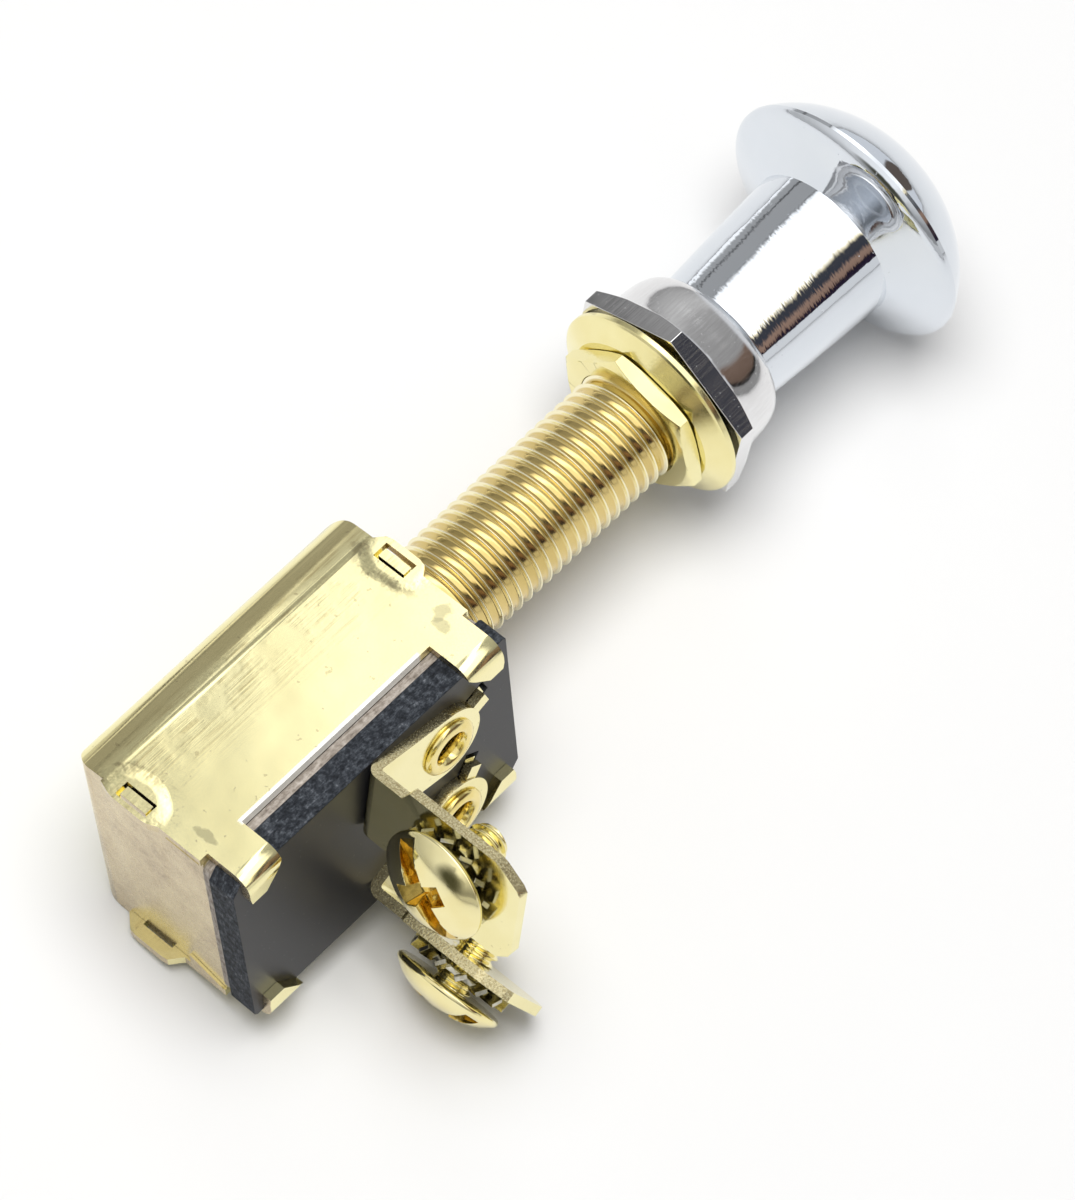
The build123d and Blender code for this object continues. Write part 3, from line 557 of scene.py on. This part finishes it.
def screw_piece(name, node, body, yz, fan, screw):
    d, _ = along(fan)
    org = screw_point(yz, fan, screw, screw[2])
    src = nodes[node].data
    bm = bmesh.new()
    bm.from_mesh(src)
    bmesh.ops.remove_doubles(bm, verts=bm.verts, dist=1e-7)
    gone = [f for f in bm.faces if all(((v.co / MM) - org).dot(d) > -0.0005 for v in f.verts) and
            not all(abs(((v.co / MM) - org).dot(d)) < 0.002 for v in f.verts)]
    bmesh.ops.delete(bm, geom=gone, context="FACES")
    length = screw[3] - screw[2]
    shank = threaded("shank", local_frame(org, d), [(1.72, 0.0), (1.72, 0.05)], 0.06, length - 0.12, 2.035, 0.40, 0.794, VEE, 0.15, 0.6,
                     [(1.5, length - 0.03), (1.3, length), (0.0, length)], 72)
    bm.from_mesh(shank.data)
    bpy.data.objects.remove(shank)
    rim = [e for e in bm.edges if e.is_boundary]
    bmesh.ops.bridge_loops(bm, edges=rim)
    bmesh.ops.recalc_face_normals(bm, faces=bm.faces)
    head_me = bpy.data.meshes.new(name)
    bm.to_mesh(head_me)
    bm.free()
    for p in head_me.polygons:
        p.use_smooth = True
    head = link(bpy.data.objects.new(name, head_me))
    head.data.materials.clear()
    head.data.materials.append(screw_brass)
    head.data.materials.append(recess_shade_brass)
    # painted shade: faces inside the head's recess take the darker brass
    for f in head.data.polygons:
        c = f.center / MM - org
        up = -c.dot(d)
        out_r = (c + d * up).length
        if out_r < 5.0 and 0.3 < up < dome(out_r) - 0.06:
            f.material_index = 1
    head.data.set_sharp_from_angle(angle=math.radians(32))
    bv = head.modifiers.new("edges", "BEVEL")
    bv.width = 0.07 * MM
    bv.segments = 2
    bv.limit_method = "ANGLE"
    bv.angle_limit = math.radians(50)
    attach(head, body)
    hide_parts(node)
    return head


screw_piece("upper_terminal_screw", "screw_upper", "upper_screw", RIV_UP, FAN_UP, SCREW_UP)
screw_piece("lower_terminal_screw", "screw_lower", "lower_screw", RIV_LO, FAN_LO, SCREW_LO)


# rivets: rolled flange and a ridged bore
def rivet_piece(name, node, yz):
    y, z = yz
    w = local_frame((0, y, z), (1, 0, 0))
    xo, xi = BX - 1.0, -8.35 + 0.8
    prof = [(2.2, xo + 0.002), (2.85, xo), (2.94, xo - 0.10), (2.93, xo - 0.22), (2.82, xo - 0.38), (2.62, xo - 0.52), (2.36, xo - 0.60),
            (2.12, xo - 0.61), (1.92, xo - 0.55), (1.76, xo - 0.42), (1.66, xo - 0.22)]
    x = xo
    prof.append((1.58, x))
    steps = 26
    for i in range(steps):
        x = xo + 0.1 + (xi - xo - 0.2) * i / (steps - 1)
        prof.append((1.55 - 0.05 + 0.05 * math.cos(i * 2 * math.pi / 5.2), x))
    prof += [(1.75, xi + 0.45), (2.05, xi + 0.6), (2.35, xi + 0.6), (2.7, xi + 0.4), (2.84, xi + 0.02), (2.2, xi)]
    o = lathe(name, [const(r, xx) for r, xx in prof], 64, w, close=True)
    o.data.materials.append(rivet_brass)
    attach(o, "root")
    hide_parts(node)


rivet_piece("upper_tube_rivet", "rivet_upper", RIV_UP)
rivet_piece("lower_tube_rivet", "rivet_lower", RIV_LO)

# ------------------------------------------------------------------ light
world = bpy.data.worlds.new("studio")
scene.world = world
world.use_nodes = True
nt = world.node_tree
nt.nodes.clear()
out = nt.nodes.new("ShaderNodeOutputWorld")
bg = nt.nodes.new("ShaderNodeBackground")
nt.links.new(bg.outputs["Background"], out.inputs["Surface"])
tc = nt.nodes.new("ShaderNodeTexCoord")
sep = nt.nodes.new("ShaderNodeSeparateXYZ")
nt.links.new(tc.outputs["Generated"], sep.inputs["Vector"])
WX, WY, WZ = sep.outputs["X"], sep.outputs["Y"], sep.outputs["Z"]
ang = fmath(nt, "ARCTAN2", WZ, WX)
eff = fmath(nt, "SUBTRACT", ang, fmath(nt, "MULTIPLY", fmath(nt, "ADD", WY, 0.36), 1.658))


def deg(stops):
    return [(d / 180.0, c) for d, c in stops]


def g(v):
    return (v, v, v)


side = ramp(nt, fmath(nt, "DIVIDE", eff, math.pi), deg([
    (0, g(0.80)), (3, g(0.03)), (8, g(0.03)), (9, g(1.25)), (15, g(1.25)), (18, g(0.42)), (27, g(0.40)), (28, g(0.12)), (30, g(0.12)), (31, g(0.40)), (52, g(0.40)), (55.5, g(0.42)), (57, g(0.12)), (58.5, g(1.0)), (63, g(1.5)), (70, g(2.1)),
    (78, g(3.4)), (90, g(3.4)), (98, g(1.8)), (110, g(1.6)), (134, g(1.6)), (138.5, (1.25, 1.08, 0.70)), (142, (0.06, 0.06, 0.07)), (155, (0.045, 0.05, 0.065)),
    (160, (0.36, 0.23, 0.17)), (168, (0.30, 0.19, 0.14)), (171, (0.015, 0.01, 0.02)), (180, (0.03, 0.02, 0.04))]))
front = ramp(nt, fmath(nt, "DIVIDE", ang, math.pi), deg([
    (0, g(0.30)), (20, g(0.42)), (50, g(0.58)), (66, g(0.55)), (80, g(0.42)), (100, g(0.38)), (145, g(0.34)), (152, (0.20, 0.14, 0.11)),
    (172, (0.16, 0.11, 0.085)), (176, g(0.02)), (180, g(0.02))]))
back = ramp(nt, fmath(nt, "DIVIDE", ang, math.pi), deg([
    (0, g(0.60)), (20, g(0.55)), (60, g(0.85)), (120, g(1.1)), (150, g(0.6)), (170, g(0.30)), (180, g(0.35))]))
c = mix_rgb(nt, span(nt, WY, -0.40, -0.52), side, front)
c = mix_rgb(nt, span(nt, WY, -0.80, -0.90), c, (0.74, 0.76, 0.79))
c = mix_rgb(nt, span(nt, WY, -0.10, 0.15), c, back)


def blob(direction, inner, outer):
    """1 inside a cone of the sky about direction (degrees), 0 outside it."""
    v = Vector(direction).normalized()
    dot = fmath(nt, "ADD", fmath(nt, "ADD", fmath(nt, "MULTIPLY", WX, v.x), fmath(nt, "MULTIPLY", WY, v.y)), fmath(nt, "MULTIPLY", WZ, v.z))
    return span(nt, dot, math.cos(math.radians(outer)), math.cos(math.radians(inner)))


c = mix_rgb(nt, blob((-0.12, 0.95, 0.24), 6, 24), c, (0.07, 0.07, 0.05))
c = mix_rgb(nt, blob((-0.07, -0.99, 0.09), 7.5, 9), c, (0.13, 0.105, 0.09))
nt.links.new(c, bg.inputs["Color"])
# the studio is dimmer for the soft light than for what shows in the polished metal
lp = nt.nodes.new("ShaderNodeLightPath")
nt.links.new(fmath(nt, "SUBTRACT", 1.0, fmath(nt, "MULTIPLY", lp.outputs["Is Diffuse Ray"], 0.55)), bg.inputs["Strength"])

key_data = bpy.data.lights.new("key", "AREA")
key_data.shape = "DISK"
key_data.size = 0.50
key_data.energy = 4.6
key_data.color = (1.0, 0.99, 0.975)
key = link(bpy.data.objects.new("key", key_data))
key_dir = (FLOOR_N * 1.0 + Vector((0.731, 0.680, 0.050)) * 0.10).normalized()
target = Vector((-0.002, 0.012, -0.010))
key.location = target + key_dir * 0.70
key.rotation_euler = (target - key.location).to_track_quat("-Z", "Y").to_euler()
key.visible_glossy = False

scene.view_settings.view_transform = "Standard"
scene.view_settings.look = "None"
scene.view_settings.exposure = 0.0
